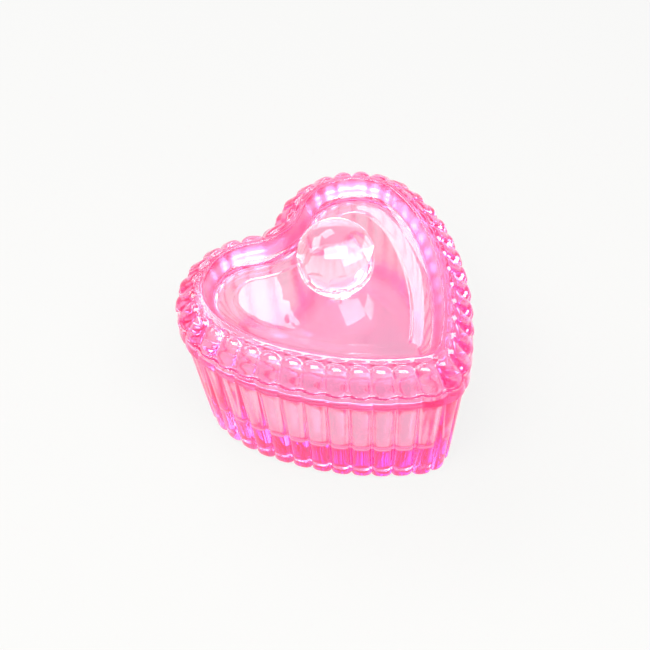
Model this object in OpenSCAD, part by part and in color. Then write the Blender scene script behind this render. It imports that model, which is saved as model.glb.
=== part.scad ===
// Heart-shaped trinket box in pressed glass.
// A reeded box, a beaded lid that lifts off it, and a clear ball knob cemented to the lid.
// Millimetres, +Z up. The origin is at the middle of the base, and the heart's tip points to -Y.

/* [Heart outline, at the lid's crest] */
// Distance of each lobe's centre from the middle line
lobe_x = 20; // [18:0.5:22]
// Radius of the two lobes
lobe_r = 17.4; // [16.5:0.1:18.5]
// Radius of the hollow curve between the lobes
cleft_r = 18.5; // [17:0.5:21]
// Radius of the flatter shoulder outside each lobe
shoulder_r = 45; // [40:1:50]
// Direction in which each lobe turns into its shoulder, in degrees
shoulder_turn = -2.6; // [-5:0.2:0]
// Radius of the long flanks
flank_r = 91.6; // [88:0.2:96]
// Distance from the lobes' centres to the tip curve's centre
tip_y = 49.1; // [47:0.1:51]
// Radius of the tip
tip_r = 6.5; // [5:0.5:8]

/* [Reeds and beads] */
// Number of reeds round the box, and of beads round the lid
reeds = 40; // [36:2:44]
// Height of a bead above the groove beside it
bead_h = 1.7; // [1:0.1:2]
// Height of a reed above the groove beside it
reed_h = 1.3; // [0.8:0.1:1.5]
// Half of the arc that a reed's round section covers, in degrees
reed_arc = 50; // [30:1:60]

/* [Box] */
// Height of the box without its lid
box_h = 44.6; // [40:0.2:50]
// Level of the floor inside the box
floor_z = 13; // [7:0.5:14]
// How far the box's rim stands outside the crest line
rim_out = 7.8; // [7:0.1:8.2]
// How far the box's foot stands outside the crest line
foot_out = 3.6; // [2.5:0.1:5]
// How far the mouth stands outside the crest line
mouth_out = 3.6; // [3.2:0.1:4]

/* [Lid] */
// Height of the lid from its lower edge to its crest
lid_h = 14.3; // [13.5:0.1:15]
// How far the lid's edge stands outside the crest line
lid_out = 9.1; // [8.8:0.1:9.4]
// Depth of the sunken top below the crest
recess_depth = 6.4; // [5.6:0.1:7]
// Thickness of the sunken panel
panel_t = 4.8; // [4:0.1:5.5]
// Depth of the locating lip below the lid's edge
lip_h = 2.7; // [2:0.1:4]
// Gap between the box's rim and the lid
seat_gap = 0.1; // [0.05:0.05:0.3]

/* [Knob] */
// Radius of the ball
knob_r = 12.1; // [11:0.1:13]
// Distance from the lobes' centres to the knob's axis
knob_y = 13.4; // [12:0.1:15]
// Height of the ball's centre above the sunken panel
knob_rise = 13.4; // [12.8:0.1:14]
// Radius of the knob's foot
knob_foot_r = 5.6; // [5:0.1:6.5]
// Thickness of the cement under the knob
cement_t = 0.2; // [0.1:0.05:0.3]
// Number of facets round the ball's middle
knob_facets = 10; // [8:1:12]
// Distance of the facets from the ball's centre, as a share of its radius
facet_at = 0.93; // [0.9:0.01:0.96]
// Direction that the first facet faces, in degrees
facet_turn = 20; // [0:1:45]

/* [Hidden] */

ROUND = 96;                          // sides of the round parts
STEPS = 6;                           // outline points for each reed
points = reeds * STEPS;
reed_line = 7;                       // offset at which the reeds are spaced evenly
tip_spread = 0.55;                   // how much the tip's radius grows with the offset
tip_least = 2;                       // smallest radius of the tip on an inner outline

lid_z = box_h + seat_gap;            // lower edge of the lid
crest_z = lid_z + lid_h;
panel_z = crest_z - recess_depth;    // top of the sunken panel
under_z = panel_z - panel_t;         // underside of the sunken panel
knob_z = panel_z + knob_rise;        // centre of the ball

// Direction from point a to point b, in degrees.
function direction(a, b) = atan2(b.y - a.y, b.x - a.x);

// Centre of each flank's arc, which touches the shoulder's arc and the tip's.
shoulder = [lobe_x, 0] + (lobe_r - shoulder_r) * [cos(shoulder_turn), sin(shoulder_turn)];
flank = circles_meet(shoulder, flank_r - shoulder_r, [0, -tip_y], flank_r - tip_r);

// The left one of the two points where a circle about a meets a circle about b.
function circles_meet(a, ra, b, rb) =
    let (
        apart = norm(b - a),
        u = (b - a) / apart,
        along = (ra * ra - rb * rb + apart * apart) / (2 * apart),
        across = sqrt(ra * ra - along * along)
    )
    a + u * along - across * [-u.y, u.x];

function tip_radius(d) = max(tip_least, tip_r + tip_spread * d);
function tip_centre(d) =
    [0, flank.y - sqrt(pow(flank_r + d - tip_radius(d), 2) - flank.x * flank.x)];

// Right half of the heart moved outwards by d, from the cleft to the tip.
// Each arc is [centre, radius, first direction, last direction, 1 or -1 for a hollow one].
function half_heart(d) =
    let (
        cleft_y = sqrt(pow(lobe_r + cleft_r, 2) - lobe_x * lobe_x),
        cleft_turn = -atan2(cleft_y, lobe_x),
        flank_from = direction(flank, shoulder),
        flank_to = direction(flank, tip_centre(d))
    )
    [
        [[0, cleft_y], cleft_r - d, -90, cleft_turn, -1],
        [[lobe_x, 0], lobe_r + d, 180 + cleft_turn, shoulder_turn, 1],
        [shoulder, shoulder_r + d, shoulder_turn, flank_from, 1],
        [flank, flank_r + d, flank_from, flank_to, 1],
        [tip_centre(d), tip_radius(d), flank_to, -90, 1]
    ];

arc_lengths = [for (a = half_heart(reed_line)) a[1] * abs(a[3] - a[2]) * PI / 180];
half_length = arc_lengths * [1, 1, 1, 1, 1];

// Which arc holds the place a distance s from the cleft, and how far along it, from 0 to 1.
function arc_place(s, k = 0) =
    k == len(arc_lengths) - 1 || s <= arc_lengths[k]
        ? [k, min(1, s / arc_lengths[k])]
        : arc_place(s - arc_lengths[k], k + 1);
places = [for (i = [0 : points / 2]) arc_place(2 * i / points * half_length)];

// Height of a reed's section, from 0 in the groove to 1 on the ridge, at outline point i.
function reed(i) =
    let (w = i / STEPS - round(i / STEPS))
    (sqrt(1 - pow(2 * w * sin(reed_arc), 2)) - cos(reed_arc)) / (1 - cos(reed_arc));

// The heart's low point is further from the lobes than its high one, so it moves to centre it.
middle_y = (lobe_r + lid_out + tip_centre(lid_out).y - tip_radius(lid_out)) / 2;

// One closed ring of outline points. p is [offset, height, reed's reach outwards, reed's rise].
function ring(p) =
    let (arcs = half_heart(p[0]))
    [
        for (i = [0 : points - 1])
            let (
                place = places[min(i, points - i)],
                a = arcs[place[0]],
                turn = a[2] + (a[3] - a[2]) * place[1],
                at = a[0] + (a[1] + a[4] * p[2] * reed(i)) * [cos(turn), sin(turn)]
            )
            [i > points / 2 ? -at.x : at.x, at.y - middle_y, p[1] + p[3] * reed(i)]
    ];

// A solid whose section follows a profile from the middle of its underside,
// outwards and up, and back to the middle of its top.
module heart_solid(profile) {
    rings = [for (p = profile) ring(p)];
    last = (len(profile) - 1) * points;
    polyhedron(
        points = [for (r = rings) each r],
        faces = [
            [for (i = [points - 1 : -1 : 0]) i],
            for (k = [0 : len(profile) - 2])
                for (i = [0 : points - 1])
                    let (a = k * points, b = a + points, j = (i + 1) % points)
                    each [[a + i, a + j, b + j], [a + i, b + j, b + i]],
            [for (i = [0 : points - 1]) last + i]
        ],
        convexity = 8
    );
}

// Reeded wall with a thick floor, open at the top.
module glass_box() {
    rim = rim_out - reed_h;
    foot = foot_out - reed_h;
    foot_round = 0.8;
    base_hollow = 0.8;
    color("hotpink", 0.6)
        heart_solid([
            [-6, base_hollow, 0, 0],
            [-4, 0, 0, 0],
            [foot - foot_round, 0, reed_h * 0.6, 0],
            [foot, foot_round, reed_h, 0],
            [rim, box_h - foot_round, reed_h, 0],
            [rim - foot_round, box_h, reed_h * 0.6, 0],
            [mouth_out + 0.4, box_h, 0, 0],
            [mouth_out, box_h - 0.4, 0, 0],
            [0.4, floor_z + 3, 0, 0],
            [-0.7, floor_z + 0.9, 0, 0],
            [-3, floor_z, 0, 0]
        ]);
}

// Beaded cover with a sunken top, a skirt over the box's rim and a lip inside its mouth.
module glass_lid() {
    lip_out = mouth_out - 0.6;
    lip_z = lid_z - lip_h;
    edge = lid_out - 0.4;
    color("hotpink", 0.6)
        heart_solid([
            [-1.6, under_z, 0, 0],
            [0.2, under_z - 1.2, 0, 0],
            [0.8, lip_z, 0, 0],
            [lip_out - 0.3, lip_z, 0, 0],
            [lip_out, lid_z, 0, 0],
            [edge - 0.5, lid_z, 0.4, 0],
            [edge, lid_z + 0.5, 0.4, 0],
            [edge - 0.2, lid_z + 5.8, 0.4, 0],
            [edge - 1, lid_z + 6.2, 0.9, 0],
            [edge - 1.4, lid_z + 6.8, bead_h * 0.9, bead_h * 0.1],
            [edge - 3.4, lid_z + 9.2, bead_h * 0.7, bead_h * 0.75],
            [edge - 5.3, lid_z + 11.4, bead_h * 0.6, bead_h * 0.5],
            [edge - 6.3, lid_z + 12.6, bead_h * 0.2, bead_h * 0.3],
            [edge - 6.8, crest_z - 0.9, 0, 0],
            [0.4, crest_z - 0.1, 0, 0],
            [-0.1, crest_z, 0, 0],
            [-0.5, crest_z - 0.2, 0, 0],
            [-3, crest_z - 4, 0, 0],
            [-6.4, panel_z + 0.8, 0, 0],
            [-9.2, panel_z + 0.5, 0, 0],
            [-10, panel_z, 0, 0]
        ]);
}

// Clear ball with a smooth dome and a girdle of flat facets, on a waisted foot.
module crystal_knob() {
    foot_z = panel_z + cement_t;
    block = 2 * knob_r;
    color("mistyrose", 0.5)
        translate([0, -knob_y - middle_y, 0]) {
            translate([0, 0, knob_z])
                difference() {
                    sphere(r = knob_r, $fn = ROUND);
                    for (i = [0 : knob_facets - 1])
                        rotate([0, 0, facet_turn + 360 * i / knob_facets])
                            translate([knob_r * facet_at, -block / 2, -block / 2])
                                cube(block);
                }
            rotate_extrude($fn = ROUND)
                polygon([
                    [0, foot_z],
                    [knob_foot_r, foot_z],
                    [knob_foot_r, foot_z + 0.6],
                    [knob_foot_r - 0.6, foot_z + 1.2],
                    [knob_foot_r - 0.8, foot_z + 2.6],
                    [0, foot_z + 2.6]
                ]);
        }
}

// Thin disc of clear adhesive between the knob's foot and the lid.
module knob_cement() {
    color("orange", 0.7)
        translate([0, -knob_y - middle_y, panel_z])
            cylinder(h = cement_t, r = knob_foot_r - 0.2, $fn = ROUND);
}

glass_box();
glass_lid();
crystal_knob();
knob_cement();
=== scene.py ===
"""Visual model of a heart-shaped trinket box in pressed glass.

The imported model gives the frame: the bodies, the nodes and their boxes. Over it this script
makes the reeded glass box, the beaded glass lid, the faceted ball knob and the cement under
the knob, and sets them on a pale floor under soft studio light.
"""

import logging
import math
from dataclasses import dataclass
from enum import Enum
from itertools import pairwise
from typing import Any, ClassVar

import bmesh
import bpy
from mathutils import Matrix, Vector

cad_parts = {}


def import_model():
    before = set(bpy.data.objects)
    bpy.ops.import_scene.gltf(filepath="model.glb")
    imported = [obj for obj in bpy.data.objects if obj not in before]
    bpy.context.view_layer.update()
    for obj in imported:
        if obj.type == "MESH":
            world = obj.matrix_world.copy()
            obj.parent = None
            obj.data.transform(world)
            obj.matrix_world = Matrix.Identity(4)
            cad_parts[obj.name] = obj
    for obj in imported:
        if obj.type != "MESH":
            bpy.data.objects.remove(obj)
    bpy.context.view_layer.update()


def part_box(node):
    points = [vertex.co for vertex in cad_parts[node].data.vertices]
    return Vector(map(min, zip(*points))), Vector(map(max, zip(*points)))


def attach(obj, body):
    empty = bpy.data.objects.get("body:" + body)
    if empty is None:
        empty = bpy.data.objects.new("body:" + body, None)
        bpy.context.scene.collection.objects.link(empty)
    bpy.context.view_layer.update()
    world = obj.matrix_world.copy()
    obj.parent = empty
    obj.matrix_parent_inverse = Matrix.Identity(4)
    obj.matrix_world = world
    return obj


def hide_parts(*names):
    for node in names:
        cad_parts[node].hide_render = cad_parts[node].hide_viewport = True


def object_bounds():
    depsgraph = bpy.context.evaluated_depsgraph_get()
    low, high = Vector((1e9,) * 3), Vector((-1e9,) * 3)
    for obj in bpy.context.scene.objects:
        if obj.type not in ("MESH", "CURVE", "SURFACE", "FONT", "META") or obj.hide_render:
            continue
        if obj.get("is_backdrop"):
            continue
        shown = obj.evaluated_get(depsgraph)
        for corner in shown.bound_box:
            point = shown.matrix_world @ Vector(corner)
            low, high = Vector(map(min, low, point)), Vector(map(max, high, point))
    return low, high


LOG = logging.getLogger("trinket_box")
MM = 0.001


class Body(Enum):
    """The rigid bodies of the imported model."""

    BOX = "box"
    LID = "lid"


class Slot(Enum):
    """The record's material slots."""

    PINK_GLASS = "pink_glass"
    CLEAR_GLASS = "clear_glass"
    # The cement's amber patches are partly yellowing and partly a painted glint of the knob's
    # prismatic fire.
    CEMENT_AND_PAINTED_GLINT = "aged_cement"


# ---------------------------------------------------------------------------
# Node trees written as expressions
# ---------------------------------------------------------------------------


class Expr:
    """An output socket whose arithmetic adds Math nodes to its tree."""

    def __init__(self, graph: "Graph", socket: bpy.types.NodeSocket) -> None:
        """Wraps one output socket of a node in the graph."""
        self.graph = graph
        self.socket = socket

    def _math(self, operation: str, *values: Any) -> "Expr":
        """Adds a Math node on the given values."""
        settings = {"operation": operation}
        return self.graph.add("ShaderNodeMath", settings, dict(enumerate(values)))

    def __add__(self, other: Any) -> "Expr":
        """Returns self + other."""
        return self._math("ADD", self, other)

    def __radd__(self, other: Any) -> "Expr":
        """Returns other + self."""
        return self._math("ADD", other, self)

    def __sub__(self, other: Any) -> "Expr":
        """Returns self - other."""
        return self._math("SUBTRACT", self, other)

    def __rsub__(self, other: Any) -> "Expr":
        """Returns other - self."""
        return self._math("SUBTRACT", other, self)

    def __mul__(self, other: Any) -> "Expr":
        """Returns self * other."""
        return self._math("MULTIPLY", self, other)

    def __rmul__(self, other: Any) -> "Expr":
        """Returns other * self."""
        return self._math("MULTIPLY", other, self)

    def __truediv__(self, other: Any) -> "Expr":
        """Returns self / other."""
        return self._math("DIVIDE", self, other)

    def __rtruediv__(self, other: Any) -> "Expr":
        """Returns other / self."""
        return self._math("DIVIDE", other, self)

    def at_least(self, least: float) -> "Expr":
        """Returns self, or least where self is smaller."""
        return self._math("MAXIMUM", self, least)

    def power(self, exponent: Any) -> "Expr":
        """Returns self to the power of exponent."""
        return self._math("POWER", self, exponent)

    def sqrt(self) -> "Expr":
        """Returns the square root of self."""
        return self._math("SQRT", self)

    def fraction(self) -> "Expr":
        """Returns what is left of self above its whole part."""
        return self._math("FRACT", self)

    def cosine(self) -> "Expr":
        """Returns the cosine of self, in radians."""
        return self._math("COSINE", self)

    def sine(self) -> "Expr":
        """Returns the sine of self, in radians."""
        return self._math("SINE", self)


class Graph:
    """Adds nodes to one shader or geometry tree."""

    def __init__(self, tree: bpy.types.NodeTree) -> None:
        """Starts on a tree, which may already hold nodes."""
        self.tree = tree

    def add(
        self,
        kind: str,
        settings: dict[str, Any] | None = None,
        values: dict[str | int, Any] | None = None,
        output: str | int = 0,
    ) -> Expr:
        """Adds a node and returns one of its outputs.

        Args:
            kind: The node's type, such as ShaderNodeMath.
            settings: Properties of the node, which are set before its sockets.
            values: Numbers, colours or Expr links for its inputs, by name or index.
            output: The output to return, by name or index.

        Returns:
            The chosen output. Its node is expr.socket.node.
        """
        node = self.tree.nodes.new(kind)
        for name, value in (settings or {}).items():
            setattr(node, name, value)
        for key, value in (values or {}).items():
            if isinstance(value, Expr):
                self.tree.links.new(value.socket, node.inputs[key])
            else:
                node.inputs[key].default_value = value
        if len(node.outputs) == 0:
            return Expr(self, node.inputs[0])
        return Expr(self, node.outputs[output])


# ---------------------------------------------------------------------------
# The heart's outline and the sections that run round it
# ---------------------------------------------------------------------------


@dataclass(frozen=True)
class Arc:
    """One arc of the outline. Directions are in degrees, and a hollow arc bends inwards."""

    centre: Vector
    radius: float
    start: float
    end: float
    hollow: bool = False

    @property
    def length(self) -> float:
        """Length of the arc, in the units of its radius."""
        return self.radius * math.radians(abs(self.end - self.start))

    def at(self, share: float) -> tuple[Vector, Vector]:
        """Finds a place on the arc.

        Args:
            share: How far along the arc, from 0 to 1.

        Returns:
            The point and the direction out of the heart there.
        """
        turn = math.radians(self.start + (self.end - self.start) * share)
        ray = Vector((math.cos(turn), math.sin(turn)))
        return self.centre + self.radius * ray, -ray if self.hollow else ray


@dataclass(frozen=True)
class HeartOutline:
    """The heart at the lid's crest, in millimetres, as arcs that touch each other.

    The lobes' centres are at y = 0 here, and centre_y moves the heart to the row's frame.
    """

    lobe_x: float = 20.0
    lobe_r: float = 17.4
    cleft_r: float = 18.5
    shoulder_r: float = 45.0
    shoulder_turn: float = -2.6
    flank_r: float = 91.6
    tip_y: float = 49.1
    tip_r: float = 6.5
    tip_spread: float = 0.55
    tip_least: float = 2.0
    reed_line: float = 7.0
    edge_out: float = 9.1

    @property
    def shoulder(self) -> Vector:
        """Centre of the right shoulder's arc."""
        turn = math.radians(self.shoulder_turn)
        ray = Vector((math.cos(turn), math.sin(turn)))
        return Vector((self.lobe_x, 0.0)) + (self.lobe_r - self.shoulder_r) * ray

    @property
    def flank(self) -> Vector:
        """Centre of the right flank's arc, which touches the shoulder's arc and the tip's."""
        a, b = self.shoulder, Vector((0.0, -self.tip_y))
        ra, rb = self.flank_r - self.shoulder_r, self.flank_r - self.tip_r
        apart = (b - a).length
        u = (b - a) / apart
        along = (ra * ra - rb * rb + apart * apart) / (2 * apart)
        across = math.sqrt(ra * ra - along * along)
        return a + u * along - across * Vector((-u.y, u.x))

    def tip(self, out: float) -> tuple[Vector, float]:
        """Centre and radius of the tip's arc on the outline moved outwards by out."""
        radius = max(self.tip_least, self.tip_r + self.tip_spread * out)
        flank = self.flank
        drop = math.sqrt((self.flank_r + out - radius) ** 2 - flank.x**2)
        return Vector((0.0, flank.y - drop)), radius

    @property
    def centre_y(self) -> float:
        """The y of the middle of the lid's edge, which is the row's origin."""
        tip, radius = self.tip(self.edge_out)
        return (self.lobe_r + self.edge_out + tip.y - radius) / 2

    def right_half(self, out: float) -> list[Arc]:
        """The arcs of the right half, from the cleft to the tip, moved outwards by out."""
        cleft_y = math.sqrt((self.lobe_r + self.cleft_r) ** 2 - self.lobe_x**2)
        cleft_turn = -math.degrees(math.atan2(cleft_y, self.lobe_x))
        tip, tip_radius = self.tip(out)
        flank = self.flank
        flank_start = direction(flank, self.shoulder)
        flank_end = direction(flank, tip)
        lobe = Vector((self.lobe_x, 0.0))
        return [
            Arc(Vector((0.0, cleft_y)), self.cleft_r - out, -90.0, cleft_turn, True),
            Arc(lobe, self.lobe_r + out, 180.0 + cleft_turn, self.shoulder_turn),
            Arc(self.shoulder, self.shoulder_r + out, self.shoulder_turn, flank_start),
            Arc(flank, self.flank_r + out, flank_start, flank_end),
            Arc(tip, tip_radius, flank_end, -90.0),
        ]

    def places(self, count: int) -> list[tuple[int, float]]:
        """Spaces places evenly along the reeds' line, from the cleft to the tip.

        Args:
            count: Points round the whole outline, which is even.

        Returns:
            For each place on the right half, its arc's index and how far along that arc.
        """
        lengths = [arc.length for arc in self.right_half(self.reed_line)]
        found = []
        for i in range(count // 2 + 1):
            left = sum(lengths) * i / (count // 2)
            k = 0
            while k < len(lengths) - 1 and left > lengths[k]:
                left -= lengths[k]
                k += 1
            found.append((k, min(1.0, left / lengths[k])))
        return found

    def ring(self, out: float, places: list[tuple[int, float]]) -> list[tuple[Vector, Vector]]:
        """Points and outward directions of the whole outline moved outwards by out."""
        arcs = self.right_half(out)
        right = [arcs[k].at(share) for k, share in places]
        left = [(flipped(p), flipped(n)) for p, n in right[-2:0:-1]]
        shift = Vector((0.0, self.centre_y))
        return [(p - shift, n) for p, n in right + left]


def direction(a: Vector, b: Vector) -> float:
    """Direction from a to b, in degrees."""
    return math.degrees(math.atan2(b.y - a.y, b.x - a.x))


def flipped(v: Vector) -> Vector:
    """The mirror image of a flat vector in the heart's middle line."""
    return Vector((-v.x, v.y))


@dataclass(frozen=True)
class Corner:
    """A corner of a section, in millimetres: how far out of the crest line, and how high.

    reach and rise are how far a reed's ridge stands out and up from the groove there. end is
    how far into its rounded end a bead is, from 0 to 1. matt is how strongly the mould's
    plunger dulled the glass there, against its usual 1. fillet is the corner's radius.
    """

    out: float
    z: float
    reach: float = 0.0
    rise: float = 0.0
    end: float = 0.0
    matt: float = 0.0
    fillet: float = 0.0

    def mixed(self, other: "Corner", share: float) -> "Corner":
        """The place a share of the way to another corner."""
        return Corner(
            self.out + (other.out - self.out) * share,
            self.z + (other.z - self.z) * share,
            self.reach + (other.reach - self.reach) * share,
            self.rise + (other.rise - self.rise) * share,
            self.end + (other.end - self.end) * share,
            self.matt + (other.matt - self.matt) * share,
        )

    def gap(self, other: "Corner") -> float:
        """Distance to another corner."""
        return math.hypot(other.out - self.out, other.z - self.z)


# The most of a run between two corners that one fillet may take.
FILLET_SHARE = 0.48
# A fillet's stations, for each run of the finest distance along its sides.
FILLET_STATIONS = 1.6
FEWEST_STATIONS = 4


def rounded(corners: list[Corner], fine: float, coarse: float) -> list[Corner]:
    """Rounds a section's corners and fills its runs with stations.

    Args:
        corners: The section's corners, in order.
        fine: The longest distance between stations on curves and beads, in millimetres.
        coarse: The longest distance between stations elsewhere.

    Returns:
        The stations, with each corner's fillet as a smooth curve.
    """
    stations = [corners[0]]
    for before, corner, after in zip(corners, corners[1:], corners[2:]):
        shorter = min(before.gap(corner), after.gap(corner))
        reach = min(corner.fillet, shorter * FILLET_SHARE)
        if reach <= 0:
            stations.append(corner)
            continue
        start = corner.mixed(before, reach / corner.gap(before))
        end = corner.mixed(after, reach / corner.gap(after))
        turns = max(FEWEST_STATIONS, math.ceil(FILLET_STATIONS * reach / fine))
        for i in range(turns + 1):
            t = i / turns
            stations.append(start.mixed(corner, t).mixed(corner.mixed(end, t), t))
    stations.append(corners[-1])
    filled = [stations[0]]
    for a, b in pairwise(stations):
        step = fine if a.rise or b.rise else coarse
        runs = max(1, math.ceil(a.gap(b) / step))
        filled += [a.mixed(b, (i + 1) / runs) for i in range(runs)]
    return filled


class ReedRaiser:
    """A Geometry Nodes tree that raises the reeds or beads on a smooth lofted heart.

    The mesh carries three attributes for it: how far round the heart each point lies, from
    0 to 1, the way and height by which a full ridge moves it, and how far into a bead's end
    it is.
    """

    ROUND = "round_share"
    LIFT = "reed_lift"
    END = "bead_end"

    def __init__(self) -> None:
        """Builds the tree once."""
        self.tree = bpy.data.node_groups.new("raise_reeds", "GeometryNodeTree")
        face = self.tree.interface
        face.new_socket("Geometry", in_out="INPUT", socket_type="NodeSocketGeometry")
        self.count = face.new_socket("Reeds", in_out="INPUT", socket_type="NodeSocketInt")
        self.arc = face.new_socket("Half arc", in_out="INPUT", socket_type="NodeSocketFloat")
        self.flat = face.new_socket("Flatness", in_out="INPUT", socket_type="NodeSocketFloat")
        self.finish = face.new_socket("Finish", in_out="INPUT", socket_type="NodeSocketMaterial")
        face.new_socket("Geometry", in_out="OUTPUT", socket_type="NodeSocketGeometry")
        g = Graph(self.tree)
        source = g.add("NodeGroupInput").socket.node
        reeds, arc, flat, finish = (
            Expr(g, source.outputs[name]) for name in ("Reeds", "Half arc", "Flatness", "Finish")
        )
        share = self._attribute(g, self.ROUND, "FLOAT")
        lift = self._attribute(g, self.LIFT, "FLOAT_VECTOR")
        end = self._attribute(g, self.END, "FLOAT")
        across = 2.0 * ((share * reeds + 0.5).fraction() - 0.5)
        away = (across * across + end * end).power(flat) * arc.sine() * arc.sine()
        cap = (1.0 - away).at_least(0.0).sqrt() - arc.cosine()
        height = cap.at_least(0.0) / (1.0 - arc.cosine())
        offset = g.add(
            "ShaderNodeVectorMath", {"operation": "SCALE"}, {0: lift, "Scale": height}
        )
        raised = g.add(
            "GeometryNodeSetPosition",
            None,
            {"Geometry": Expr(g, source.outputs["Geometry"]), "Offset": offset},
        )
        smooth = g.add("GeometryNodeSetShadeSmooth", None, {"Geometry": raised})
        real = g.add("GeometryNodeRealizeInstances", None, {"Geometry": smooth})
        finished = g.add(
            "GeometryNodeSetMaterial", None, {"Geometry": real, "Material": finish}
        )
        g.add("NodeGroupOutput", None, {0: finished})

    @staticmethod
    def _attribute(g: Graph, name: str, kind: str) -> Expr:
        """Reads one of the mesh's attributes."""
        return g.add("GeometryNodeInputNamedAttribute", {"data_type": kind}, {"Name": name})

    def apply(
        self, piece: bpy.types.Object, reeds: int, arc: float, flat: float, finish: Any
    ) -> None:
        """Raises the reeds on a piece and leaves it a plain mesh.

        Args:
            piece: The lofted heart, with its attributes.
            reeds: Number of reeds round it.
            arc: Half of the arc that a reed's section covers, in degrees.
            flat: 1 for a section that is an arc, and more for one with a flatter ridge.
            finish: The piece's material.
        """
        modifier = piece.modifiers.new("reeds", "NODES")
        modifier.node_group = self.tree
        modifier[self.count.identifier] = reeds
        modifier[self.arc.identifier] = math.radians(arc)
        modifier[self.flat.identifier] = flat
        modifier[self.finish.identifier] = finish
        bake_modifiers(piece)


def bake_modifiers(piece: bpy.types.Object) -> None:
    """Turns a piece and its modifiers into a plain mesh."""
    depsgraph = bpy.context.evaluated_depsgraph_get()
    evaluated = piece.evaluated_get(depsgraph)
    plain = bpy.data.meshes.new_from_object(
        evaluated, preserve_all_data_layers=True, depsgraph=depsgraph
    )
    piece.modifiers.clear()
    old = piece.data
    piece.data = plain
    bpy.data.meshes.remove(old)
    plain.name = piece.name


@dataclass
class PressedHeart:
    """A heart-shaped pressing whose section runs round the outline.

    steps is the number of points across a reed. fine and coarse are the longest runs between
    stations, in millimetres.
    """

    outline: HeartOutline
    raiser: ReedRaiser
    reeds: int = 40
    reed_arc: float = 70.0
    reed_flat: float = 1.0
    steps: int = 16
    fine: float = 0.45
    coarse: float = 3.0

    def loft(self, name: str, corners: list[Corner], finish: Any) -> bpy.types.Object:
        """Makes a closed solid from a section.

        Args:
            name: The piece's name.
            corners: The section from the middle of the underside, outwards and up, and back
                to the middle of the top.
            finish: The piece's material.

        Returns:
            The finished piece, with its reeds raised.
        """
        count = self.reeds * self.steps
        places = self.outline.places(count)
        verts, lifts, shares, ends, matt = [], [], [], [], []
        stations = rounded(corners, self.fine, self.coarse)
        for s in stations:
            for i, (p, n) in enumerate(self.outline.ring(s.out, places)):
                verts.append(Vector((p.x, p.y, s.z)) * MM)
                lifts += [n.x * s.reach * MM, n.y * s.reach * MM, s.rise * MM]
                shares.append(i / count)
                ends.append(s.end)
                matt.append(s.matt)
        faces = [tuple(range(count))]
        for k in range(len(stations) - 1):
            low, high = k * count, (k + 1) * count
            for i in range(count):
                j = (i + 1) % count
                faces.append((low + j, low + i, high + i, high + j))
        faces.append(tuple(range(len(verts) - 1, len(verts) - count - 1, -1)))
        mesh = bpy.data.meshes.new(name)
        mesh.from_pydata(verts, [], faces)
        piece = bpy.data.objects.new(name, mesh)
        bpy.context.scene.collection.objects.link(piece)
        for key, values in (
            (ReedRaiser.ROUND, shares),
            (ReedRaiser.END, ends),
            (ColouredGlass.MATT, matt),
        ):
            mesh.attributes.new(key, "FLOAT", "POINT").data.foreach_set("value", values)
        lift = mesh.attributes.new(ReedRaiser.LIFT, "FLOAT_VECTOR", "POINT")
        lift.data.foreach_set("vector", lifts)
        self.raiser.apply(piece, self.reeds, self.reed_arc, self.reed_flat, finish)
        return piece


# ---------------------------------------------------------------------------
# Finishes
# ---------------------------------------------------------------------------


@dataclass(frozen=True)
class ColouredGlass:
    """Solid glass tinted through its depth, with the slight ripple that pressing leaves."""

    name: str
    tint: tuple[float, float, float]
    depth: float
    ior: float = 1.5
    roughness: float = 0.0
    matt_roughness: float = 0.0
    ripple: float = 0.0
    ripple_size: float = 9.0
    ripple_detail: float = 2.0
    skin: tuple[float, float, float] = (1.0, 1.0, 1.0)

    MATT: ClassVar[str] = "plunger_matt"

    def material(self) -> bpy.types.Material:
        """Builds the finish.

        Returns:
            A glass material whose tint is a plain absorption in its volume. tint is what is
            left of white light after a run of depth millimetres, and skin is what is left
            after it has passed in and out through the surface.
        """
        made = bpy.data.materials.new(self.name)
        made.use_nodes = True
        made.node_tree.nodes.clear()
        g = Graph(made.node_tree)
        values: dict[str | int, Any] = {
            "Base Color": (*self.skin, 1.0),
            "Roughness": self.roughness,
            "IOR": self.ior,
            "Transmission Weight": 1.0,
        }
        if self.matt_roughness > 0:
            matt = g.add(
                "ShaderNodeAttribute", {"attribute_name": self.MATT}, None, "Fac"
            )
            values["Roughness"] = self.roughness + matt * self.matt_roughness
        if self.ripple > 0:
            values["Normal"] = self._ripples(g)
        shader = g.add("ShaderNodeBsdfPrincipled", None, values)
        # The strongest loss sets the density, and the colour shares it out.
        losses = [-math.log(t) / (self.depth * MM) for t in self.tint]
        density = max(losses)
        colour = tuple(1.0 - loss / density for loss in losses) + (1.0,)
        volume = g.add(
            "ShaderNodeVolumeAbsorption", None, {"Color": colour, "Density": density}
        )
        g.add("ShaderNodeOutputMaterial", None, {"Surface": shader, "Volume": volume})
        return made

    def _ripples(self, g: Graph) -> Expr:
        """Returns a normal that wanders slightly over the surface."""
        place = g.add("ShaderNodeTexCoord", None, None, "Object")
        waves = g.add(
            "ShaderNodeTexNoise",
            {"noise_dimensions": "3D"},
            {
                "Vector": place,
                "Scale": 1.0 / (self.ripple_size * MM),
                "Detail": self.ripple_detail,
            },
            "Fac",
        )
        return g.add(
            "ShaderNodeBump",
            None,
            {"Strength": 1.0, "Distance": self.ripple * MM, "Height": waves},
            "Normal",
        )


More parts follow.
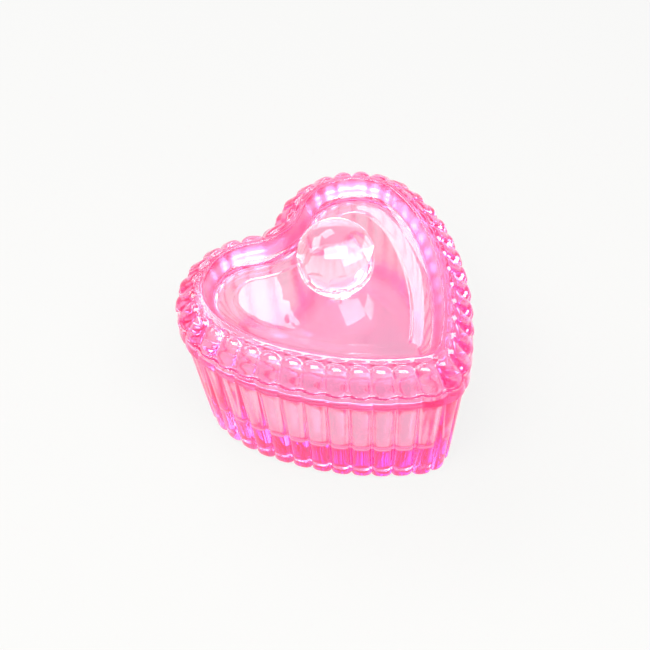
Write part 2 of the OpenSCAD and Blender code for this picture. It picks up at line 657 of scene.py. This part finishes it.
@dataclass(frozen=True)
class CementWithPaintedGlint:
    """Clear adhesive with uneven amber patches: partly yellowed cement, partly a painted glint
    that stands in for the orange prismatic fleck seen through the knob.
    """

    # The material's name speaks of ageing, but its amber is partly a painted glint of the knob's
    # prismatic fire.
    name: str = "aged_cement"
    fresh: tuple[float, float, float] = (0.98, 0.90, 0.74)
    # The amber is partly yellowed cement and partly a painted glint: it stands in for the orange
    # prismatic fleck seen through the ball.
    yellowing_and_glint: tuple[float, float, float] = (0.90, 0.42, 0.05)
    patch_size: float = 4.0
    patch_detail: float = 3.0
    patch_edge: tuple[float, float] = (0.45, 0.68)
    smooth: float = 0.15
    uneven: float = 0.2
    clearness: float = 0.6
    ior: float = 1.48

    def material(self) -> bpy.types.Material:
        """Builds the finish: patches of fresh adhesive and of amber, which is partly yellowing
        and partly a painted glint, under a soft gloss.
        """
        made = bpy.data.materials.new(self.name)
        made.use_nodes = True
        made.node_tree.nodes.clear()
        g = Graph(made.node_tree)
        place = g.add("ShaderNodeTexCoord", None, None, "Object")
        patches = g.add(
            "ShaderNodeTexNoise",
            {"noise_dimensions": "3D"},
            {
                "Vector": place,
                "Scale": 1.0 / (self.patch_size * MM),
                "Detail": self.patch_detail,
            },
            "Fac",
        )
        low, high = self.patch_edge
        ramp = g.add("ShaderNodeMapRange", None, {0: patches, 1: low, 2: high})
        # Mixes fresh adhesive towards amber, which is partly yellowing and partly a painted
        # glint.
        colour = g.add(
            "ShaderNodeMix",
            {"data_type": "RGBA"},
            {0: ramp, 6: (*self.fresh, 1.0), 7: (*self.yellowing_and_glint, 1.0)},
            2,
        )
        shader = g.add(
            "ShaderNodeBsdfPrincipled",
            None,
            {
                "Base Color": colour,
                "Roughness": self.smooth + self.uneven * patches,
                "Transmission Weight": self.clearness,
                "IOR": self.ior,
            },
        )
        g.add("ShaderNodeOutputMaterial", None, {"Surface": shader})
        return made


PINK = ColouredGlass(
    "pink_glass",
    tint=(1.0, 0.76, 0.908),
    depth=6.0,
    ior=1.54,
    skin=(1.0, 0.965, 0.915),
    roughness=0.01,
    matt_roughness=0.22,
    ripple=0.05,
)
CLEAR = ColouredGlass("clear_glass", tint=(1.0, 0.86, 0.91), depth=24.0, ior=1.52)


# ---------------------------------------------------------------------------
# The object's pieces
# ---------------------------------------------------------------------------


def settle(piece: bpy.types.Object, body: Body, slot: Slot, *nodes: str) -> None:
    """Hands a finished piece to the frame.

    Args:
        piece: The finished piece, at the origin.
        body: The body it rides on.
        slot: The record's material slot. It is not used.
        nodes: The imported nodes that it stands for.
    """
    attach(piece, body.value)
    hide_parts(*nodes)
    LOG.info("%s: %d faces on %s", piece.name, len(piece.data.polygons), body.value)


@dataclass
class GlassBox(PressedHeart):
    """The reeded box with its thick floor. Sizes are in millimetres.

    edge_lift is the share of a reed's height that is left at its softened ends.
    """

    rim_out: float = 7.8
    foot_out: float = 3.6
    mouth_out: float = 3.6
    floor_z: float = 13.0
    base_hollow: float = 0.8
    reed_h: float = 1.6
    reed_arc: float = 84.0
    reed_flat: float = 1.3
    edge_fillet: float = 1.4
    rim_round: float = 0.9
    rim_land: float = 1.0
    edge_lift: float = 0.4
    wall_matt: float = 0.4
    floor_fillet: float = 6.0

    def section(self) -> list[Corner]:
        """The box's section, up to the height that the frame gives it."""
        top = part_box("glass_box")[1].z / MM
        rim, foot = self.rim_out - self.reed_h, self.foot_out - self.reed_h
        soft, dull, lift = self.edge_fillet, self.wall_matt, self.reed_h * self.edge_lift
        return [
            Corner(-12, self.base_hollow),
            Corner(-6, self.base_hollow, fillet=1),
            Corner(-4, 0, fillet=0.6),
            Corner(foot - 1.2, 0, lift, fillet=0.5),
            Corner(foot, self.rim_round, self.reed_h, fillet=soft),
            Corner(rim, top - self.rim_round, self.reed_h, fillet=soft),
            Corner(rim - self.rim_land, top, lift, fillet=0.5),
            Corner(self.mouth_out, top, fillet=self.rim_round),
            Corner(self.mouth_out - 0.3, top - 2.0, matt=dull),
            Corner(-0.5, self.floor_z, matt=dull, fillet=self.floor_fillet),
            Corner(-12, self.floor_z, matt=dull),
        ]

    def build(self) -> bpy.types.Object:
        """Makes the box and hands it to the frame."""
        piece = self.loft("reeded_box", self.section(), PINK.material())
        settle(piece, Body.BOX, Slot.PINK_GLASS, "glass_box")
        return piece


@dataclass
class GlassLid(PressedHeart):
    """The beaded lid with its sunken top. Sizes are in millimetres.

    bead_foot lies out from the edge and up from the seat, and bead_head out of the crest line
    and up from the top. bead_ways are how far out and up a bead stands out of its groove, in
    bead heights: at its foot, after its lower round, before its upper round and at its head.
    """

    edge_out: float = 9.1
    mouth_out: float = 3.6
    lip_gap: float = 0.6
    lip_h: float = 2.7
    recess_depth: float = 6.4
    panel_t: float = 4.8
    skirt_h: float = 5.7
    bead_h: float = 2.3
    bead_foot: tuple[float, float] = (-1.35, 5.5)
    bead_head: tuple[float, float] = (1.9, -1.3)
    bead_round: float = 2.4
    bead_ways: tuple[tuple[float, float], ...] = ((1.2, 0.2), (1.0, 0.5), (0.6, 0.6), (0.4, 0.6))
    reed_arc: float = 86.0
    scallop: float = 0.45
    crest_round: float = 0.25
    wall_matt: float = 1.8
    wall_drop: float = 3.9

    def section(self) -> list[Corner]:
        """The lid's section, between the heights that the frame gives it."""
        low, high = (corner.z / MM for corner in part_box("glass_lid"))
        seat = low + self.lip_h
        panel = high - self.recess_depth
        under = panel - self.panel_t
        lip = self.mouth_out - self.lip_gap
        edge = self.edge_out - self.scallop
        foot = Corner(edge + self.bead_foot[0], seat + self.bead_foot[1])
        head = Corner(self.bead_head[0], high + self.bead_head[1])
        wall = high - self.wall_drop
        return [
            Corner(-12, under, matt=1),
            Corner(-0.6, under, matt=1, fillet=2),
            Corner(0.8, low, fillet=0.6),
            Corner(lip, low, fillet=0.6),
            Corner(lip, seat, fillet=0.3),
            Corner(edge - 0.5, seat, self.scallop, fillet=0.3),
            Corner(edge, seat + 0.5, self.scallop, fillet=0.4),
            Corner(edge - 0.5, seat + self.skirt_h, self.scallop, fillet=0.9),
            *self.bead(foot, head),
            Corner(1.0, high - 0.5, fillet=0.5),
            Corner(0.2, high, fillet=self.crest_round),
            Corner(-0.3, high, fillet=self.crest_round),
            Corner(-0.8, high - 0.7, matt=self.wall_matt),
            Corner(-3.0, wall, matt=self.wall_matt, fillet=0.8),
            Corner(-3.8, wall - 0.6),
            Corner(-6.4, panel + 0.8, fillet=0.8),
            Corner(-9.2, panel + 0.5, fillet=0.4),
            Corner(-9.9, panel, fillet=0.4),
            Corner(-12, panel),
        ]

    def bead(self, foot: Corner, head: Corner) -> list[Corner]:
        """The groove beside a bead, which is rounded at both ends.

        Args:
            foot: The bead's lower end.
            head: Its upper end.

        Returns:
            The groove's corners, with the bead's way out of it. The lower end overhangs.
        """
        length = foot.gap(head)
        places = (0.0, self.bead_round, length - self.bead_round, length)
        ends = (1.0, 0.0, 0.0, 1.0)
        corners = []
        for along, end, (out, up) in zip(places, ends, self.bead_ways):
            place = foot.mixed(head, along / length)
            reach, rise = out * self.bead_h, up * self.bead_h
            corners.append(Corner(place.out, place.z, reach, rise, end))
        return corners

    def build(self) -> bpy.types.Object:
        """Makes the lid and hands it to the frame."""
        piece = self.loft("beaded_lid", self.section(), PINK.material())
        settle(piece, Body.LID, Slot.PINK_GLASS, "glass_lid")
        return piece


class FacetCutter:
    """A Geometry Nodes tree that cuts a girdle of flat facets round a ball.

    The ball stands at the tree's origin. A block at each facet cuts away what lies beyond it.
    """

    def __init__(self) -> None:
        """Builds the tree once."""
        self.tree = bpy.data.node_groups.new("cut_facets", "GeometryNodeTree")
        face = self.tree.interface
        face.new_socket("Ball", in_out="INPUT", socket_type="NodeSocketGeometry")
        self.count = face.new_socket("Facets", in_out="INPUT", socket_type="NodeSocketInt")
        self.turn = face.new_socket("Turn", in_out="INPUT", socket_type="NodeSocketFloat")
        self.reach = face.new_socket("Reach", in_out="INPUT", socket_type="NodeSocketFloat")
        self.block = face.new_socket("Block", in_out="INPUT", socket_type="NodeSocketFloat")
        self.finish = face.new_socket("Finish", in_out="INPUT", socket_type="NodeSocketMaterial")
        face.new_socket("Geometry", in_out="OUTPUT", socket_type="NodeSocketGeometry")
        g = Graph(self.tree)
        source = g.add("NodeGroupInput").socket.node
        ball, count, turn, reach, block, finish = (
            Expr(g, source.outputs[name])
            for name in ("Ball", "Facets", "Turn", "Reach", "Block", "Finish")
        )
        points = g.add("GeometryNodeMeshLine", None, {"Count": count, "Offset": (0, 0, 0)})
        angle = turn + g.add("GeometryNodeInputIndex") * (1.0 / count * math.tau)
        away = reach + block * 0.5
        middle = g.add(
            "ShaderNodeCombineXYZ", None, {0: away * angle.cosine(), 1: away * angle.sine()}
        )
        placed = g.add(
            "GeometryNodeSetPosition", None, {"Geometry": points, "Position": middle}
        )
        size = g.add("ShaderNodeCombineXYZ", None, {0: block, 1: block, 2: block})
        cube = g.add("GeometryNodeMeshCube", None, {"Size": size})
        spin = g.add("ShaderNodeCombineXYZ", None, {2: angle})
        blocks = g.add(
            "GeometryNodeInstanceOnPoints",
            None,
            {"Points": placed, "Instance": cube, "Rotation": spin},
        )
        cut = g.add(
            "GeometryNodeMeshBoolean",
            {"operation": "DIFFERENCE", "solver": "EXACT"},
            {"Mesh 1": ball, "Mesh 2": blocks},
        )
        real = g.add("GeometryNodeRealizeInstances", None, {"Geometry": cut})
        finished = g.add(
            "GeometryNodeSetMaterial", None, {"Geometry": real, "Material": finish}
        )
        g.add("NodeGroupOutput", None, {0: finished})

    def apply(
        self, piece: bpy.types.Object, count: int, turn: float, reach: float, finish: Any
    ) -> None:
        """Cuts the facets and leaves a plain mesh.

        Args:
            piece: The ball, centred on the origin.
            count: Number of facets.
            turn: Direction that the first facet faces, in degrees.
            reach: Distance of the facets from the ball's centre, in metres.
            finish: The piece's material.
        """
        modifier = piece.modifiers.new("facets", "NODES")
        modifier.node_group = self.tree
        modifier[self.count.identifier] = count
        modifier[self.turn.identifier] = math.radians(turn)
        modifier[self.reach.identifier] = reach
        modifier[self.block.identifier] = 2.0 * reach
        modifier[self.finish.identifier] = finish
        bake_modifiers(piece)


@dataclass
class CrystalKnob:
    """The clear ball with its girdle of facets, on a waisted foot. Sizes are in millimetres."""

    cutter: FacetCutter
    facets: int = 10
    facet_at: float = 0.93
    facet_turn: float = 20.0
    foot: tuple[tuple[float, float], ...] = ((5.6, 0.0), (5.6, 0.7), (5.1, 1.3), (4.9, 2.6))
    rise: float = 13.2
    segments: int = 128
    edge_angle: float = 10.0

    def ball(self, centre: Vector, radius: float, finish: Any) -> bpy.types.Object:
        """Makes the ball with its facets.

        Args:
            centre: The ball's centre.
            radius: Its radius.
            finish: The knob's material.

        Returns:
            The ball, whose place is in its mesh.
        """
        form = bmesh.new()
        bmesh.ops.create_uvsphere(
            form, u_segments=self.segments, v_segments=self.segments // 2, radius=radius
        )
        mesh = bpy.data.meshes.new("crystal_ball")
        form.to_mesh(mesh)
        form.free()
        piece = bpy.data.objects.new("crystal_ball", mesh)
        bpy.context.scene.collection.objects.link(piece)
        self.cutter.apply(
            piece, self.facets, self.facet_turn, radius * self.facet_at, finish
        )
        piece.data.transform(Matrix.Translation(centre))
        return piece

    def stem(self, centre: Vector, low: float, finish: Any) -> bpy.types.Object:
        """Makes the waisted foot, which reaches up into the ball.

        Args:
            centre: The ball's centre.
            low: The foot's lowest level, in metres.
            finish: The knob's material.

        Returns:
            The foot, closed at both ends.
        """
        sides = self.segments
        verts = []
        for radius, height in self.foot:
            for i in range(sides):
                turn = math.tau * i / sides
                x, y = radius * math.cos(turn) * MM, radius * math.sin(turn) * MM
                verts.append((centre.x + x, centre.y + y, low + height * MM))
        faces = [tuple(range(sides))[::-1]]
        for k in range(len(self.foot) - 1):
            for i in range(sides):
                j = (i + 1) % sides
                a, b = k * sides, (k + 1) * sides
                faces.append((a + i, a + j, b + j, b + i))
        faces.append(tuple(range(len(verts) - sides, len(verts))))
        mesh = bpy.data.meshes.new("knob_stem")
        mesh.from_pydata(verts, [], faces)
        for face in mesh.polygons:
            face.use_smooth = len(face.vertices) == 4
        mesh.materials.append(finish)
        piece = bpy.data.objects.new("knob_stem", mesh)
        bpy.context.scene.collection.objects.link(piece)
        return piece

    def build(self) -> bpy.types.Object:
        """Makes the knob as one solid and hands it to the frame."""
        low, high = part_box("crystal_knob")
        rise = self.rise * MM
        radius = high.z - low.z - rise
        centre = Vector(((low.x + high.x) / 2, (low.y + high.y) / 2, low.z + rise))
        finish = CLEAR.material()
        piece = self.ball(centre, radius, finish)
        stem = self.stem(centre, low.z, finish)
        union = piece.modifiers.new("stem", "BOOLEAN")
        union.operation = "UNION"
        union.solver = "EXACT"
        union.object = stem
        bake_modifiers(piece)
        bpy.data.objects.remove(stem)
        piece.data.shade_smooth()
        piece.data.set_sharp_from_angle(angle=math.radians(self.edge_angle))
        piece.name = "crystal_knob_cut"
        settle(piece, Body.LID, Slot.CLEAR_GLASS, "crystal_knob")
        return piece


@dataclass
class KnobCement:
    """The thin layer of adhesive between the lid and the knob's foot.

    Its edge wanders in waves. Each has a share of the wander, a count round the edge and a
    phase.
    """

    clearance: float = 0.02
    sides: int = 96
    wander: float = 0.35
    waves: tuple[tuple[float, int, float], ...] = ((0.6, 3, 1.0), (0.4, 7, 0.0))

    def build(self) -> bpy.types.Object:
        """Makes the cement as a disc with a slightly uneven edge, and hands it to the frame."""
        low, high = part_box("knob_cement")
        centre = (low + high) / 2
        radius = (high.x - low.x) / 2 - self.wander * MM
        levels = (low.z + self.clearance * MM, high.z - self.clearance * MM)
        verts = [(centre.x, centre.y, z) for z in levels]
        for z in levels:
            for i in range(self.sides):
                turn = math.tau * i / self.sides
                uneven = sum(a * math.sin(n * turn + phase) for a, n, phase in self.waves)
                r = radius + self.wander * MM * uneven
                verts.append((centre.x + r * math.cos(turn), centre.y + r * math.sin(turn), z))
        faces = []
        for i in range(self.sides):
            j = (i + 1) % self.sides
            a, b, c, d = 2 + i, 2 + j, 2 + self.sides + i, 2 + self.sides + j
            faces += [(0, b, a), (1, c, d), (a, b, d, c)]
        mesh = bpy.data.meshes.new("knob_cement_layer")
        mesh.from_pydata(verts, [], faces)
        # The cement's amber patches are partly a painted glint of the knob's prismatic fire.
        mesh.materials.append(CementWithPaintedGlint().material())
        piece = bpy.data.objects.new("knob_cement_layer", mesh)
        bpy.context.scene.collection.objects.link(piece)
        settle(piece, Body.LID, Slot.CEMENT_AND_PAINTED_GLINT, "knob_cement")
        return piece


# ---------------------------------------------------------------------------
# The studio
# ---------------------------------------------------------------------------


# The lamps' colour: a little warmer than the floor's white.
WARM = (1.0, 0.98, 0.88)


@dataclass(frozen=True)
class SoftBox:
    """A rectangular studio light that faces the object."""

    name: str
    azimuth: float
    elevation: float
    distance: float
    width: float
    height: float
    radiance: float
    colour: tuple[float, float, float] = (1.0, 1.0, 1.0)

    def place(self, centre: Vector) -> None:
        """Hangs the light in the studio.

        Args:
            centre: The point that it faces. Azimuth 0 is on the -Y side of it.
        """
        lamp = bpy.data.lights.new(self.name, "AREA")
        lamp.shape = "RECTANGLE"
        lamp.size = self.width
        lamp.size_y = self.height
        # A lamp's power is its radiance times its area times pi.
        lamp.energy = self.radiance * math.pi * self.width * self.height
        lamp.color = self.colour
        obj = bpy.data.objects.new(self.name, lamp)
        bpy.context.scene.collection.objects.link(obj)
        obj.matrix_world = facing(centre, self.azimuth, self.elevation, self.distance, 0.0)


def facing(
    target: Vector, azimuth: float, elevation: float, distance: float, roll: float
) -> Matrix:
    """Places something that looks along its own -Z at a target.

    Args:
        target: The point that it looks at.
        azimuth: Where it stands round the target, in degrees from the -Y side.
        elevation: How high it stands, in degrees.
        distance: How far from the target.
        roll: Its turn about the line of sight, in degrees.

    Returns:
        Its world matrix.
    """
    a, e = math.radians(azimuth), math.radians(elevation)
    back = Vector((math.sin(a) * math.cos(e), -math.cos(a) * math.cos(e), math.sin(e)))
    right = Vector((math.cos(a), math.sin(a), 0.0))
    up = back.cross(right)
    turned = Matrix((right, up, back)).transposed() @ Matrix.Rotation(math.radians(roll), 3, "Z")
    placed = turned.to_4x4()
    placed.translation = target + back * distance
    return placed


@dataclass
class Studio:
    """The pale floor, the soft light and the camera."""

    floor_size: float = 6.0
    floor_gap: float = 0.0001
    floor_albedo: float = 0.04
    floor_glow: float = 0.805
    ambient: float = 1.0
    lights: tuple[SoftBox, ...] = (
        SoftBox(
            "overhead_softbox",
            azimuth=-39.0,
            elevation=64.0,
            distance=0.8,
            width=1.0,
            height=0.5,
            radiance=15.0,
            colour=WARM,
        ),
        SoftBox(
            "back_softbox",
            azimuth=164.9,
            elevation=51.0,
            distance=1.1,
            width=0.5,
            height=0.45,
            radiance=7.5,
        ),
        SoftBox(
            "left_softbox",
            azimuth=-153.0,
            elevation=38.0,
            distance=1.0,
            width=0.6,
            height=0.4,
            radiance=9.0,
            colour=WARM,
        ),
    )
    aim: tuple[float, float, float] = (1.13, 14.81, 25.0)
    azimuth: float = -39.6
    elevation: float = 51.08
    distance: float = 0.4411
    roll: float = -3.88
    lens: float = 74.35
    sensor: float = 36.0
    nearest: float = 0.01
    bounces: int = 48
    brightest_bounce: float = 6.0

    def build(self) -> None:
        """Sets up the floor, the lights, the camera and how the picture is developed."""
        self._floor()
        self._sky()
        low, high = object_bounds()
        for light in self.lights:
            light.place((low + high) / 2)
        self._camera()
        scene = bpy.context.scene
        scene.view_settings.view_transform = "Standard"
        scene.cycles.max_bounces = self.bounces
        scene.cycles.transmission_bounces = self.bounces
        scene.cycles.glossy_bounces = self.bounces
        scene.cycles.sample_clamp_indirect = self.brightest_bounce

    def _floor(self) -> None:
        """Lays the floor."""
        half = self.floor_size / 2
        low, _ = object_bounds()
        z = low.z - self.floor_gap
        mesh = bpy.data.meshes.new("studio_floor")
        mesh.from_pydata(
            [(-half, -half, z), (half, -half, z), (half, half, z), (-half, half, z)],
            [],
            [(0, 1, 2, 3)],
        )
        paper = bpy.data.materials.new("pale_floor")
        paper.use_nodes = True
        shader = paper.node_tree.nodes["Principled BSDF"]
        albedo = self.floor_albedo
        shader.inputs["Base Color"].default_value = (albedo, albedo, albedo, 1.0)
        shader.inputs["Roughness"].default_value = 1.0
        shader.inputs["Specular IOR Level"].default_value = 0.0
        shader.inputs["Emission Color"].default_value = (1.0, 1.0, 1.0, 1.0)
        shader.inputs["Emission Strength"].default_value = self.floor_glow
        mesh.materials.append(paper)
        floor = bpy.data.objects.new("studio_floor", mesh)
        bpy.context.scene.collection.objects.link(floor)
        floor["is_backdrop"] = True

    def _sky(self) -> None:
        """Fills the studio with even light."""
        world = bpy.data.worlds.new("studio_air")
        world.use_nodes = True
        background = world.node_tree.nodes["Background"]
        background.inputs["Color"].default_value = (1.0, 1.0, 1.0, 1.0)
        background.inputs["Strength"].default_value = self.ambient
        bpy.context.scene.world = world

    def _camera(self) -> None:
        """Sets up the camera."""
        data = bpy.data.cameras.new("studio_camera")
        data.lens = self.lens
        data.sensor_width = self.sensor
        data.clip_start = self.nearest
        camera = bpy.data.objects.new("studio_camera", data)
        bpy.context.scene.collection.objects.link(camera)
        aim = Vector(self.aim) * MM
        camera.matrix_world = facing(
            aim, self.azimuth, self.elevation, self.distance, self.roll
        )
        bpy.context.scene.camera = camera


# ---------------------------------------------------------------------------


def plain(bounds: tuple[Vector, Vector]) -> list[list[float]]:
    """A box's two corners as plain lists."""
    return [list(corner) for corner in bounds]


def main() -> None:
    """Makes the box, the lid, the knob and its cement, and the studio round them."""
    logging.basicConfig(level=logging.INFO, format="%(name)s: %(message)s")
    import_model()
    outline, raiser = HeartOutline(), ReedRaiser()
    GlassBox(outline, raiser).build()
    GlassLid(outline, raiser).build()
    CrystalKnob(FacetCutter()).build()
    KnobCement().build()
    Studio().build()


if __name__ == "__main__":
    main()
